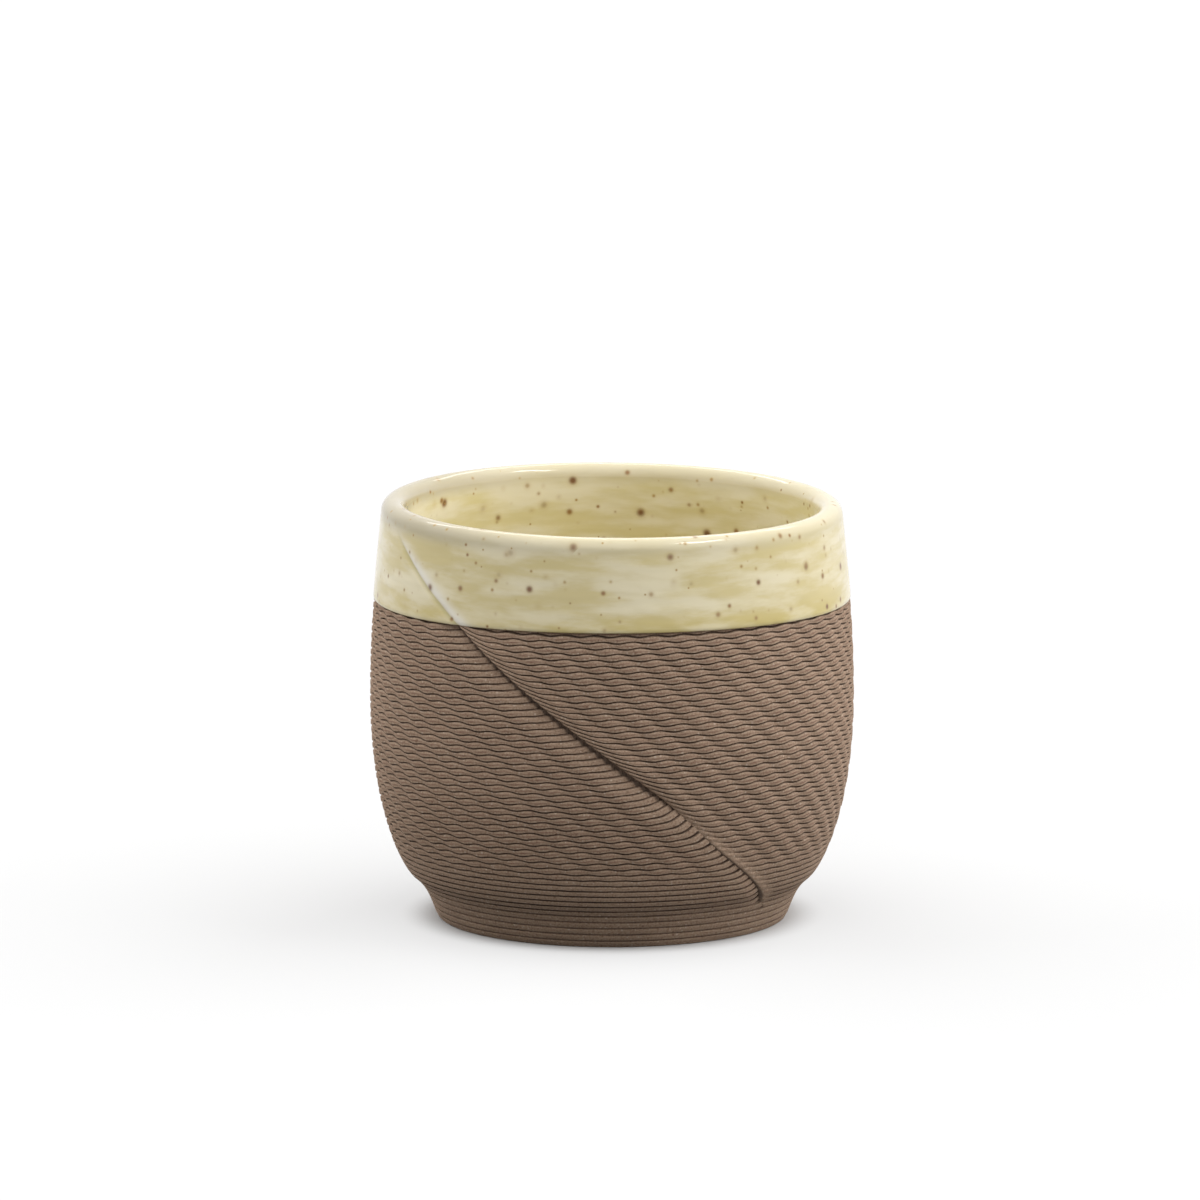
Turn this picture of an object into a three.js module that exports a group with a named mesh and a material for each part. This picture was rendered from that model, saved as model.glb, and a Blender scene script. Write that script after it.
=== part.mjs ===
// Printed stoneware espresso cup without a handle: a bare clay wall with one spiral fold in it, a clay
// base, a glaze poured into the inside and a glaze that the rim was dipped in.
// Millimetres, +Z up. The foot stands on z = 0, the axis is Z and the front of the cup faces -Y.
import * as THREE from 'three';

// Outside of the cup
const CUP_HEIGHT = 60.2; // at the lowest place of the lip
const FOOT_RADIUS = 25.1;
const FOOT_EDGE = 0.9; // size of the rounded lower edge of the foot
const SHOULDER_RADIUS = 29;
const SHOULDER_HEIGHT = 6.3;
const SHOULDER_FLARE = 1.33; // how far the outside moves out for each mm of height at the shoulder
const BELLY_RADIUS = 35;
const BELLY_HEIGHT = 32;
const MOUTH_RADIUS = 33.2;
const LIP_TILT = 0.34; // half of the rise from the low side of the lip to its high side
const LIP_HIGH_SIDE = -116; // degrees from the front towards +X

// Pull of the outside's curves, as shares of the height of each curve, and of the belly's overhang
const FOOT_PULL = 0.33;
const SHOULDER_PULL = 0.04;
const BELLY_PULL = 0.65;
const MOUTH_PULL = 0.4;
const MOUTH_LEAN = 0.6;

// Clay and glaze
const CLAY_WALL = 3;
const BASE_THICKNESS = 4.25;
const FLOOR_ROUND = 8; // height in which the floor turns up into the wall
const GLAZE_THICKNESS = 0.45;
const BOND_GAP = 0.15; // between a glaze and its clay, between the glazes, and round the base
const GLAZE_LINE = 46.8; // height of the lower edge of the dipped glaze

// Spiral fold
const FOLD_DEPTH = 2.3; // depth of the crease in the bare clay
const FOLD_LEFT = 2.6; // width of the shoulder on the left of the crease
const FOLD_RIGHT = 5; // width of the shoulder on the right of the crease
const FOLD_TWIST = 2.19; // degrees that the crease turns for each mm of height
const FOLD_FRONT = 28.4; // height at which the crease crosses the front
const FOLD_FOOT = 4; // the fold starts at this height,
const FOLD_FULL = 7; // has its whole depth from here,
const FOLD_FADE = 46; // gets shallower from here
const FOLD_END = 60; // and is gone in the lip
const BAND_SHARE = 0.6; // share of the fold that shows through the dipped glaze
const RIDGE_SHARE = 0.65; // share of the fold that stands out as a ridge on the inside

// Waves of the printed layers, which line up as ribs along the fold on the bare outside
const WAVE_COUNT = 48; // round the cup, away from the fold
const WAVE_DEPTH = 0.42;
const WAVE_START = 8; // the waves start at this height
const WAVE_FULL = 15; // and have their whole depth from here

// Facets
const CURVE_STEPS = 7; // steps along each curve of the outside
const ROUND_STEPS = 4; // steps round the lip and up from the floor
const INSIDE_STEPS = 6; // steps up the inside above the floor
const LEFT_STEPS = [1, 0.5, 0.19]; // shares of the left shoulder's width, towards the crease
const RIGHT_STEPS = [0, 0.12, 0.38, 0.7, 1]; // shares of the right shoulder's width, from the crease

const clayFinish = new THREE.MeshStandardMaterial({ color: 0x7a6658, roughness: 0.9, metalness: 0 });
const glazeFinish = new THREE.MeshStandardMaterial({ color: 0xd8cda6, roughness: 0.15, metalness: 0 });

const lipThickness = CLAY_WALL + BOND_GAP + GLAZE_THICKNESS;
const lipBase = CUP_HEIGHT - lipThickness / 2; // height where the round of the lip begins
const seatRadius = FOOT_RADIUS - CLAY_WALL; // inside of the wall round the base

// Outside curve from the foot over the shoulder and the belly to the lip
const outside = new THREE.Path();
const footPull = FOOT_PULL * SHOULDER_HEIGHT;
const shoulderPull = SHOULDER_PULL * (BELLY_HEIGHT - SHOULDER_HEIGHT);
const bellyPull = BELLY_PULL * (BELLY_HEIGHT - SHOULDER_HEIGHT);
const mouthPull = MOUTH_PULL * (lipBase - BELLY_HEIGHT);
const mouthLean = MOUTH_LEAN * (BELLY_RADIUS - MOUTH_RADIUS);
outside.moveTo(FOOT_RADIUS, 0);
outside.bezierCurveTo(
  FOOT_RADIUS + FOOT_EDGE, FOOT_EDGE,
  SHOULDER_RADIUS - SHOULDER_FLARE * footPull, SHOULDER_HEIGHT - footPull,
  SHOULDER_RADIUS, SHOULDER_HEIGHT,
);
outside.bezierCurveTo(
  SHOULDER_RADIUS + SHOULDER_FLARE * shoulderPull, SHOULDER_HEIGHT + shoulderPull,
  BELLY_RADIUS, BELLY_HEIGHT - bellyPull,
  BELLY_RADIUS, BELLY_HEIGHT,
);
outside.bezierCurveTo(
  BELLY_RADIUS, BELLY_HEIGHT + mouthPull,
  MOUTH_RADIUS + mouthLean, lipBase - mouthPull,
  MOUTH_RADIUS, lipBase,
);
const outsidePoints = outside.getPoints(CURVE_STEPS);

// Radius of the outside at a height
function outsideRadius(height) {
  const above = Math.max(1, outsidePoints.findIndex((point) => point.y >= height));
  const low = outsidePoints[above - 1];
  const high = outsidePoints[above];
  return THREE.MathUtils.mapLinear(height, low.y, high.y, low.x, high.x);
}

// Angle of the crease at a height, from the front towards +X
function foldAngle(height) {
  return THREE.MathUtils.degToRad(FOLD_TWIST * (FOLD_FRONT - height));
}

// How far the lip's tilt lifts a point: nothing below the glaze line, all of it at the lip
function lipLift(height, angle) {
  const share = THREE.MathUtils.smoothstep(height, GLAZE_LINE, lipBase);
  return LIP_TILT * share * (1 + Math.cos(angle - THREE.MathUtils.degToRad(LIP_HIGH_SIDE)));
}

// Depth of the crease at a height: nothing in the foot and in the lip
function foldDepth(height) {
  const rise = THREE.MathUtils.smoothstep(height, FOLD_FOOT, FOLD_FULL);
  const fade = THREE.MathUtils.smoothstep(height, FOLD_FADE, FOLD_END);
  return FOLD_DEPTH * rise * (1 - fade);
}

// Distance from the crease as a share of the shoulder's width, from 0 in the crease to 1 at its edge
function shoulderShare(angle) {
  const width = angle < 0 ? FOLD_LEFT : FOLD_RIGHT;
  return Math.min(1, (Math.abs(angle) * BELLY_RADIUS) / width);
}

// How far a surface moves in at a height and at an angle from the crease
const plain = () => 0;
const creased = (height, angle) => {
  return foldDepth(height) * (1 - Math.sqrt(1 - (1 - shoulderShare(angle)) ** 2));
};
const softened = (height, angle) => {
  return foldDepth(height) * (1 - THREE.MathUtils.smoothstep(shoulderShare(angle), 0, 1));
};
const banded = (height, angle) => BAND_SHARE * softened(height, angle);
const ridged = (height, angle) => RIDGE_SHARE * softened(height, angle);
const waved = (height, angle) => creased(height, angle) + waveDepth(height, angle);

// Angles that the fold takes on each side of the crease, and the waves share the rest of the turn
const leftWidth = FOLD_LEFT / BELLY_RADIUS;
const rightWidth = FOLD_RIGHT / BELLY_RADIUS;
const waveAngle = (2 * Math.PI - leftWidth - rightWidth) / WAVE_COUNT;

// Depth of the waves: nothing on their crests, over the fold and in the foot
function waveDepth(height, angle) {
  const fromFold = THREE.MathUtils.euclideanModulo(angle - rightWidth, 2 * Math.PI);
  const share = Math.min(fromFold / waveAngle, WAVE_COUNT);
  const rise = THREE.MathUtils.smoothstep(height, WAVE_START, WAVE_FULL);
  return WAVE_DEPTH * rise * 0.5 * (1 - Math.cos(2 * Math.PI * share));
}

// Angles of the facets round the cup, counted from the crease: close together over the fold
function ringAngles(facetsPerWave) {
  const angles = [
    ...LEFT_STEPS.map((share) => -share * leftWidth),
    ...RIGHT_STEPS.map((share) => share * rightWidth),
  ];
  for (let step = 1; step < WAVE_COUNT * facetsPerWave; step += 1) {
    angles.push(rightWidth + (step * waveAngle) / facetsPerWave);
  }
  return angles;
}
const smoothRing = ringAngles(1);
const wavyRing = ringAngles(2);

// A point of a profile: radius, height and the way that the fold moves it
const at = (radius, height, fold) => ({ radius, height, fold });

// Moves a profile sideways by a distance, to the left of the way it runs
function offset(profile, distance) {
  return profile.map((point, index) => {
    const before = profile[Math.max(0, index - 1)];
    const after = profile[Math.min(profile.length - 1, index + 1)];
    const along = new THREE.Vector2(after.radius - before.radius, after.height - before.height).normalize();
    return at(point.radius - along.y * distance, point.height + along.x * distance, point.fold);
  });
}

// Half circle over the wall from the outside to the inside, this far below the surface of the lip
function lipRound(depth, fold) {
  const points = [];
  for (let step = 0; step <= 2 * ROUND_STEPS; step += 1) {
    const turn = (Math.PI * step) / (2 * ROUND_STEPS);
    const radius = lipThickness / 2 - depth;
    const centre = MOUTH_RADIUS - lipThickness / 2;
    points.push(at(centre + radius * Math.cos(turn), lipBase + radius * Math.sin(turn), fold));
  }
  return points;
}

// Part of the outside between two heights, this far under the surface
function outsideRun(low, high, depth, fold) {
  const inner = outsidePoints.filter((point) => point.y > low && point.y < high).map((point) => point.y);
  return [low, ...inner, high].map((height) => at(outsideRadius(height) - depth, height, fold));
}

// Inside of the clay wall, from the edge of the floor up to the lip
function clayInside() {
  const floorTop = BASE_THICKNESS + FLOOR_ROUND;
  const wallRadius = (height) => outsideRadius(height) - CLAY_WALL;
  const round = new THREE.QuadraticBezierCurve(
    new THREE.Vector2(seatRadius, BASE_THICKNESS),
    new THREE.Vector2(wallRadius(BASE_THICKNESS + FLOOR_ROUND / 3), BASE_THICKNESS + GLAZE_THICKNESS),
    new THREE.Vector2(wallRadius(floorTop), floorTop),
  );
  const points = round.getPoints(ROUND_STEPS).map((point) => at(point.x, point.y, ridged));
  for (let step = 1; step <= INSIDE_STEPS; step += 1) {
    const height = THREE.MathUtils.lerp(floorTop, lipBase, step / INSIDE_STEPS);
    points.push(at(wallRadius(height), height, ridged));
  }
  return points;
}

// Turns a closed profile about Z. The rings follow the crease, and each point moves in by its fold.
function revolve(profile, angles) {
  const outline = profile.map((point) => new THREE.Vector2(point.radius, point.height));
  const geometry = new THREE.LatheGeometry(outline, angles.length);
  const { position } = geometry.attributes;
  for (let ring = 0; ring <= angles.length; ring += 1) {
    const fromCrease = angles[ring % angles.length];
    profile.forEach((point, index) => {
      const angle = foldAngle(point.height) + fromCrease;
      const radius = point.radius - point.fold(point.height, wrap(fromCrease));
      const height = point.height + lipLift(point.height, angle);
      const vertex = ring * profile.length + index;
      position.setXYZ(vertex, radius * Math.sin(angle), -radius * Math.cos(angle), height);
    });
  }
  geometry.computeVertexNormals();
  return geometry;
}

// An angle between half a turn to the left and half a turn to the right
function wrap(angle) {
  return THREE.MathUtils.euclideanModulo(angle + Math.PI, 2 * Math.PI) - Math.PI;
}

// One named piece of the cup
function piece(name, profile, finish, angles = smoothRing) {
  const mesh = new THREE.Mesh(revolve(profile, angles), finish);
  mesh.name = name;
  return mesh;
}

// Printed base that lies inside the foot of the wall
function clayBase() {
  const radius = seatRadius - BOND_GAP;
  return piece('clay_base', [
    at(0, 0, plain),
    at(radius, 0, plain),
    at(radius, BASE_THICKNESS, plain),
    at(0, BASE_THICKNESS, plain),
  ], clayFinish);
}

// Printed wall: bare, waved and creased up to the glaze line, set back under the dipped glaze above it
function clayWall() {
  const setBack = GLAZE_THICKNESS + BOND_GAP;
  const bareTop = GLAZE_LINE - BOND_GAP;
  const profile = [
    at(seatRadius, 0, plain),
    ...outsideRun(0, bareTop, 0, waved),
    ...outsideRun(bareTop, lipBase, setBack, banded).slice(0, -1),
    ...lipRound(setBack, plain).slice(0, -1),
    ...clayInside().reverse(),
    at(seatRadius, 0, plain),
  ];
  return piece('clay_wall', profile, clayFinish, wavyRing);
}

// Glaze that was poured into the cup: it covers the floor and the inside up to the lip
function liningGlaze() {
  const top = lipBase - BOND_GAP;
  const covered = [
    at(0, BASE_THICKNESS, plain),
    ...clayInside().filter((point) => point.height < top),
    at(outsideRadius(top) - CLAY_WALL, top, ridged),
  ];
  const under = offset(covered, BOND_GAP);
  const over = offset(covered, BOND_GAP + GLAZE_THICKNESS);
  return piece('lining_glaze', [...under, ...over.reverse()], glazeFinish);
}

// Glaze that the rim was dipped in: it runs from the glaze line over the lip
function rimGlaze() {
  const outer = [...outsideRun(GLAZE_LINE, lipBase, 0, banded).slice(0, -1), ...lipRound(0, plain)];
  const inner = [
    ...outsideRun(GLAZE_LINE, lipBase, GLAZE_THICKNESS, banded).slice(0, -1),
    ...lipRound(GLAZE_THICKNESS, plain),
  ];
  return piece('rim_glaze', [...outer, ...inner.reverse(), outer[0]], glazeFinish);
}

const cup = new THREE.Group();
cup.add(clayBase(), clayWall(), liningGlaze(), rimGlaze());

export default cup;
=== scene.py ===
"""Studio scene of a printed stoneware espresso cup with a glazed rim and a glazed inside.

Metres, +Z up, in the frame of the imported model: the foot stands on z = 0 and the front faces -Y.
"""

import logging
import math
from dataclasses import dataclass
from enum import Enum

import bpy
import numpy as np
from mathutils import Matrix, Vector


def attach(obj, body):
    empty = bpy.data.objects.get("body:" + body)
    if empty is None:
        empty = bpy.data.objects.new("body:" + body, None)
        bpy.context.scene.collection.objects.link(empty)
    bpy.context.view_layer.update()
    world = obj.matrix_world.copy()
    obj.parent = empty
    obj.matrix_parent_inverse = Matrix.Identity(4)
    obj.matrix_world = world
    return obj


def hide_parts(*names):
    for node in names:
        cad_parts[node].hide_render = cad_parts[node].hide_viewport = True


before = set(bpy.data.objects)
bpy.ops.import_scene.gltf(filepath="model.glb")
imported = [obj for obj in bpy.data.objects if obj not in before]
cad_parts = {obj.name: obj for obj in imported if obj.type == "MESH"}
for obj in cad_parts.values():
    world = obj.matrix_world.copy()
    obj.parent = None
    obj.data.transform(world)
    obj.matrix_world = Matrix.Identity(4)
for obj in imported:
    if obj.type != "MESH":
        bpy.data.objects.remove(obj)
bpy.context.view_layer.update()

MM = 0.001
BODY = "root"
LOG = logging.getLogger("espresso_cup")

Colour = tuple[float, float, float, float]


def paint(code: str) -> Colour:
    """Turns a screen colour into the linear colour that a shader takes.

    Args:
        code: six hexadecimal digits, two each for red, green and blue.

    Returns:
        Linear red, green and blue, and a full alpha.
    """
    shares = [int(code[start : start + 2], 16) / 255 for start in (0, 2, 4)]
    linear = [share / 12.92 if share < 0.04045 else ((share + 0.055) / 1.055) ** 2.4 for share in shares]
    return (linear[0], linear[1], linear[2], 1.0)


class Field:
    """A value in a node tree that takes part in sums as a number does."""

    def __init__(self, sheet: "NodeSheet", socket: bpy.types.NodeSocket) -> None:
        """Keeps the sheet that the value is drawn on and its output socket."""
        self.sheet = sheet
        self.socket = socket

    def __add__(self, other: "Field | float") -> "Field":
        """Adds a value or a number."""
        return self.sheet.math("ADD", self, other)

    def __sub__(self, other: "Field | float") -> "Field":
        """Takes a value or a number away."""
        return self.sheet.math("SUBTRACT", self, other)

    def __rsub__(self, other: float) -> "Field":
        """Takes this value away from a number."""
        return self.sheet.math("SUBTRACT", other, self)

    def __mul__(self, other: "Field | float") -> "Field":
        """Multiplies by a value or a number."""
        return self.sheet.math("MULTIPLY", self, other)

    def __truediv__(self, other: "Field | float") -> "Field":
        """Divides by a value or a number."""
        return self.sheet.math("DIVIDE", self, other)

    def __pow__(self, other: "Field | float") -> "Field":
        """Raises to a power."""
        return self.sheet.math("POWER", self, other)

    __radd__ = __add__
    __rmul__ = __mul__


class NodeSheet:
    """A node tree under construction, for geometry as well as for shaders."""

    def __init__(self, tree: bpy.types.NodeTree) -> None:
        """Keeps the tree that the nodes go into."""
        self.tree = tree

    def node(self, kind: str, **settings: object) -> bpy.types.Node:
        """Adds a node and sets its options.

        Args:
            kind: type name of the node.
            settings: options of the node by name.

        Returns:
            The new node.
        """
        node = self.tree.nodes.new(kind)
        for name, value in settings.items():
            setattr(node, name, value)
        return node

    def feed(self, socket: bpy.types.NodeSocket, value: object) -> None:
        """Links a field into a socket, or writes a plain value on it."""
        if isinstance(value, Field):
            self.tree.links.new(value.socket, socket)
        else:
            socket.default_value = value

    def made(self, kind: str, inputs: dict[str, object], output: str, **settings: object) -> Field:
        """Adds a node, feeds its inputs by name and gives one of its outputs.

        Args:
            kind: type name of the node.
            inputs: fields or values by the names of the enabled input sockets.
            output: name of the output socket to give back.
            settings: options of the node by name.

        Returns:
            The field of that output.
        """
        node = self.node(kind, **settings)
        for name, value in inputs.items():
            self.feed(next(s for s in node.inputs if s.enabled and s.name == name), value)
        return Field(self, next(s for s in node.outputs if s.enabled and s.name == output))

    def math(self, operation: str, *values: "Field | float") -> Field:
        """Adds a Math node over one, two or three values."""
        node = self.node("ShaderNodeMath", operation=operation)
        for socket, value in zip(node.inputs, values):
            self.feed(socket, value)
        return Field(self, node.outputs[0])

    def step(self, low: "Field | float", high: "Field | float", value: Field) -> Field:
        """Gives a smooth step from 0 at the low value to 1 at the high one."""
        inputs = {"Value": value, "From Min": low, "From Max": high}
        return self.made("ShaderNodeMapRange", inputs, "Result", interpolation_type="SMOOTHSTEP")

    def pick(self, share: Field, low: "Field | float", high: "Field | float") -> Field:
        """Mixes two values by a share from 0 to 1."""
        return self.made("ShaderNodeMix", {"Factor": share, "A": low, "B": high}, "Result", data_type="FLOAT")

    def blend(self, share: "Field | float", low: object, high: object) -> Field:
        """Mixes two colours by a share from 0 to 1."""
        inputs = {"Factor": share, "A": low, "B": high}
        return self.made("ShaderNodeMix", inputs, "Result", data_type="RGBA")

    def noise(self, vector: Field, scale: "Field | float", detail: float, seed: "Field | float") -> Field:
        """Adds a noise texture.

        Args:
            vector: place at which the noise is taken.
            scale: size of the pattern, as repeats for each unit.
            detail: number of finer octaves.
            seed: which of the many patterns it is.

        Returns:
            A value round 0.5.
        """
        node = self.node("ShaderNodeTexNoise", noise_dimensions="4D")
        for name, value in {"Vector": vector, "Scale": scale, "Detail": detail, "W": seed}.items():
            self.feed(node.inputs[name], value)
        return Field(self, node.outputs[0])

    def vector(self, x: "Field | float", y: "Field | float", z: "Field | float") -> Field:
        """Joins three values to a vector."""
        return self.made("ShaderNodeCombineXYZ", {"X": x, "Y": y, "Z": z}, "Vector")

    def parts(self, vector: Field) -> tuple[Field, Field, Field]:
        """Splits a vector into its three values."""
        node = self.node("ShaderNodeSeparateXYZ")
        self.feed(node.inputs[0], vector)
        return Field(self, node.outputs[0]), Field(self, node.outputs[1]), Field(self, node.outputs[2])


class FoldForm(Enum):
    """How a surface follows the spiral fold: share of the sharp crease and share of the soft hollow."""

    PLAIN = (0.0, 0.0)
    CREASED = (1.0, 0.0)
    COATED = (0.0, 0.14)
    RIDGED = (0.0, 0.45)


@dataclass(frozen=True)
class CupOutline:
    """Outside curve of the cup, from the foot over the shoulder and the belly to the lip."""

    height: float = 60.18 * MM
    foot_radius: float = 25.1 * MM
    foot_edge: float = 0.9 * MM
    shoulder_radius: float = 29 * MM
    shoulder_height: float = 6.3 * MM
    shoulder_flare: float = 1.33
    belly_radius: float = 35 * MM
    belly_height: float = 32 * MM
    mouth_radius: float = 33.2 * MM
    wall: float = 3 * MM
    glaze: float = 0.45 * MM
    bond: float = 0.15 * MM
    base: float = 4.25 * MM
    floor_round: float = 8 * MM
    glaze_line: float = 46.8 * MM
    line_bow: float = 0.3 * MM
    lip_tilt: float = 0.34 * MM
    lip_high_side: float = math.radians(-116)
    foot_pull: float = 0.33
    shoulder_pull: float = 0.04
    belly_pull: float = 0.65
    mouth_pull: float = 0.4
    mouth_lean: float = 0.6
    samples: int = 60

    @property
    def lip(self) -> float:
        """Thickness of the glazed lip."""
        return self.wall + self.bond + self.glaze

    @property
    def lip_base(self) -> float:
        """Height where the round of the lip begins."""
        return self.height - self.lip / 2

    @property
    def seat(self) -> float:
        """Radius of the wall's inside round the base."""
        return self.foot_radius - self.wall

    def curve(self) -> np.ndarray:
        """Samples the outside curve.

        Returns:
            Rows of radius and height, from the foot to the lip.
        """
        foot_rise = self.foot_pull * self.shoulder_height
        belly_rise = self.belly_height - self.shoulder_height
        mouth_rise = self.lip_base - self.belly_height
        lean = self.mouth_lean * (self.belly_radius - self.mouth_radius)
        shoulder = (self.shoulder_radius, self.shoulder_height)
        belly = (self.belly_radius, self.belly_height)
        bends = [
            (
                (self.foot_radius, 0.0),
                (self.foot_radius + self.foot_edge, self.foot_edge),
                (shoulder[0] - self.shoulder_flare * foot_rise, shoulder[1] - foot_rise),
                shoulder,
            ),
            (
                shoulder,
                (
                    shoulder[0] + self.shoulder_flare * self.shoulder_pull * belly_rise,
                    shoulder[1] + self.shoulder_pull * belly_rise,
                ),
                (belly[0], belly[1] - self.belly_pull * belly_rise),
                belly,
            ),
            (
                belly,
                (belly[0], belly[1] + self.mouth_pull * mouth_rise),
                (self.mouth_radius + lean, self.lip_base - self.mouth_pull * mouth_rise),
                (self.mouth_radius, self.lip_base),
            ),
        ]
        share = np.linspace(0, 1, self.samples)[:, None]
        weights = [(1 - share) ** 3, 3 * share * (1 - share) ** 2, 3 * share**2 * (1 - share), share**3]
        return np.vstack([sum(w * np.array(p) for w, p in zip(weights, bend)) for bend in bends])

    def radius(self, height: float) -> float:
        """Gives the outside radius at a height."""
        curve = self.curve()
        return float(np.interp(height, curve[:, 1], curve[:, 0]))

    def inside(self, steps: int) -> list[tuple[float, float]]:
        """Gives the inside of the clay wall from the edge of the floor up to the lip.

        Args:
            steps: number of points over the floor's round and over the wall, each.

        Returns:
            Pairs of radius and height.
        """
        top = self.base + self.floor_round
        start = np.array([self.seat, self.base])
        pull = np.array([self.radius(self.base + self.floor_round / 3) - self.wall, self.base + self.glaze])
        end = np.array([self.radius(top) - self.wall, top])
        points = []
        for share in np.linspace(0, 1, steps):
            spot = (1 - share) ** 2 * start + 2 * share * (1 - share) * pull + share**2 * end
            points.append((float(spot[0]), float(spot[1])))
        for height in np.linspace(top, self.lip_base, steps + 1)[1:]:
            points.append((self.radius(height) - self.wall, float(height)))
        return points

    def lip_round(self, depth: float, steps: int) -> list[tuple[float, float]]:
        """Gives the half circle over the wall, from the outside to the inside.

        Args:
            depth: distance under the surface of the lip.
            steps: number of steps round the half circle.

        Returns:
            Pairs of radius and height.
        """
        middle = self.mouth_radius - self.lip / 2
        size = self.lip / 2 - depth
        turns = np.linspace(0, math.pi, steps + 1)
        return [(middle + size * math.cos(t), self.lip_base + size * math.sin(t)) for t in turns]


@dataclass(frozen=True)
class SpiralFold:
    """The crease that winds down the cup, with a rolled shoulder on each side."""

    depth_low: float = 0.75 * MM
    depth_high: float = 1.2 * MM
    left: float = 4.6 * MM
    right: float = 5.5 * MM
    nose_share: float = 0.8
    nose: float = 8.0
    under: float = 0.3 * MM
    cover: float = 0.8 * MM
    ridge: float = 0.75 * MM
    ridge_shift_low: float = -0.3 * MM
    ridge_shift_high: float = 1.3 * MM
    edge_low: float = 1.2 * MM
    edge_high: float = 1.05 * MM
    tail: float = 1.3 * MM
    tail_end: float = 17 * MM
    twist: float = math.radians(2.19) / MM
    front: float = 28.4 * MM
    foot: float = 4.0 * MM
    full: float = 6.2 * MM
    fade: float = 54 * MM
    end: float = 58.3 * MM
    swap_low: float = 13 * MM
    swap_high: float = 26 * MM
    lift_left_low: float = 2.6 * MM
    lift_left_high: float = 0.4 * MM
    lift_right_low: float = 0.1 * MM
    lift_right_high: float = 1.8 * MM
    smear: float = 1.0


@dataclass(frozen=True)
class PrintedLayers:
    """Layers of the printed wall and the waves that the nozzle drew in them."""

    foot_count: int = 5
    foot_pitch: float = 0.98 * MM
    count: int = 55
    pitch: float = 0.85 * MM
    gap: float = 0.14 * MM
    waves: int = 50
    wave_depth: float = 0.32 * MM
    wave_start: float = 8 * MM
    wave_full: float = 15 * MM
    groove: float = 0.38 * MM
    foot_groove: float = 0.65
    swell: float = 0.21 * MM
    inset: float = 0.06 * MM
    tuck: float = 0.35 * MM
    wobble: float = 0.05 * MM
    seed: float = 7.0

    def edge(self, index: int) -> float:
        """Gives the height of the lower edge of a layer."""
        return min(index, self.foot_count) * self.foot_pitch + max(0, index - self.foot_count) * self.pitch


@dataclass(frozen=True)
class Row:
    """One ring of a piece before it is rolled up: radius and height in metres, the rest as weights."""

    radius: float
    height: float
    layer: float
    fold: FoldForm = FoldForm.PLAIN
    bead: float = 0.0
    waves: float = 0.0
    line: float = 0.0


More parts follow.
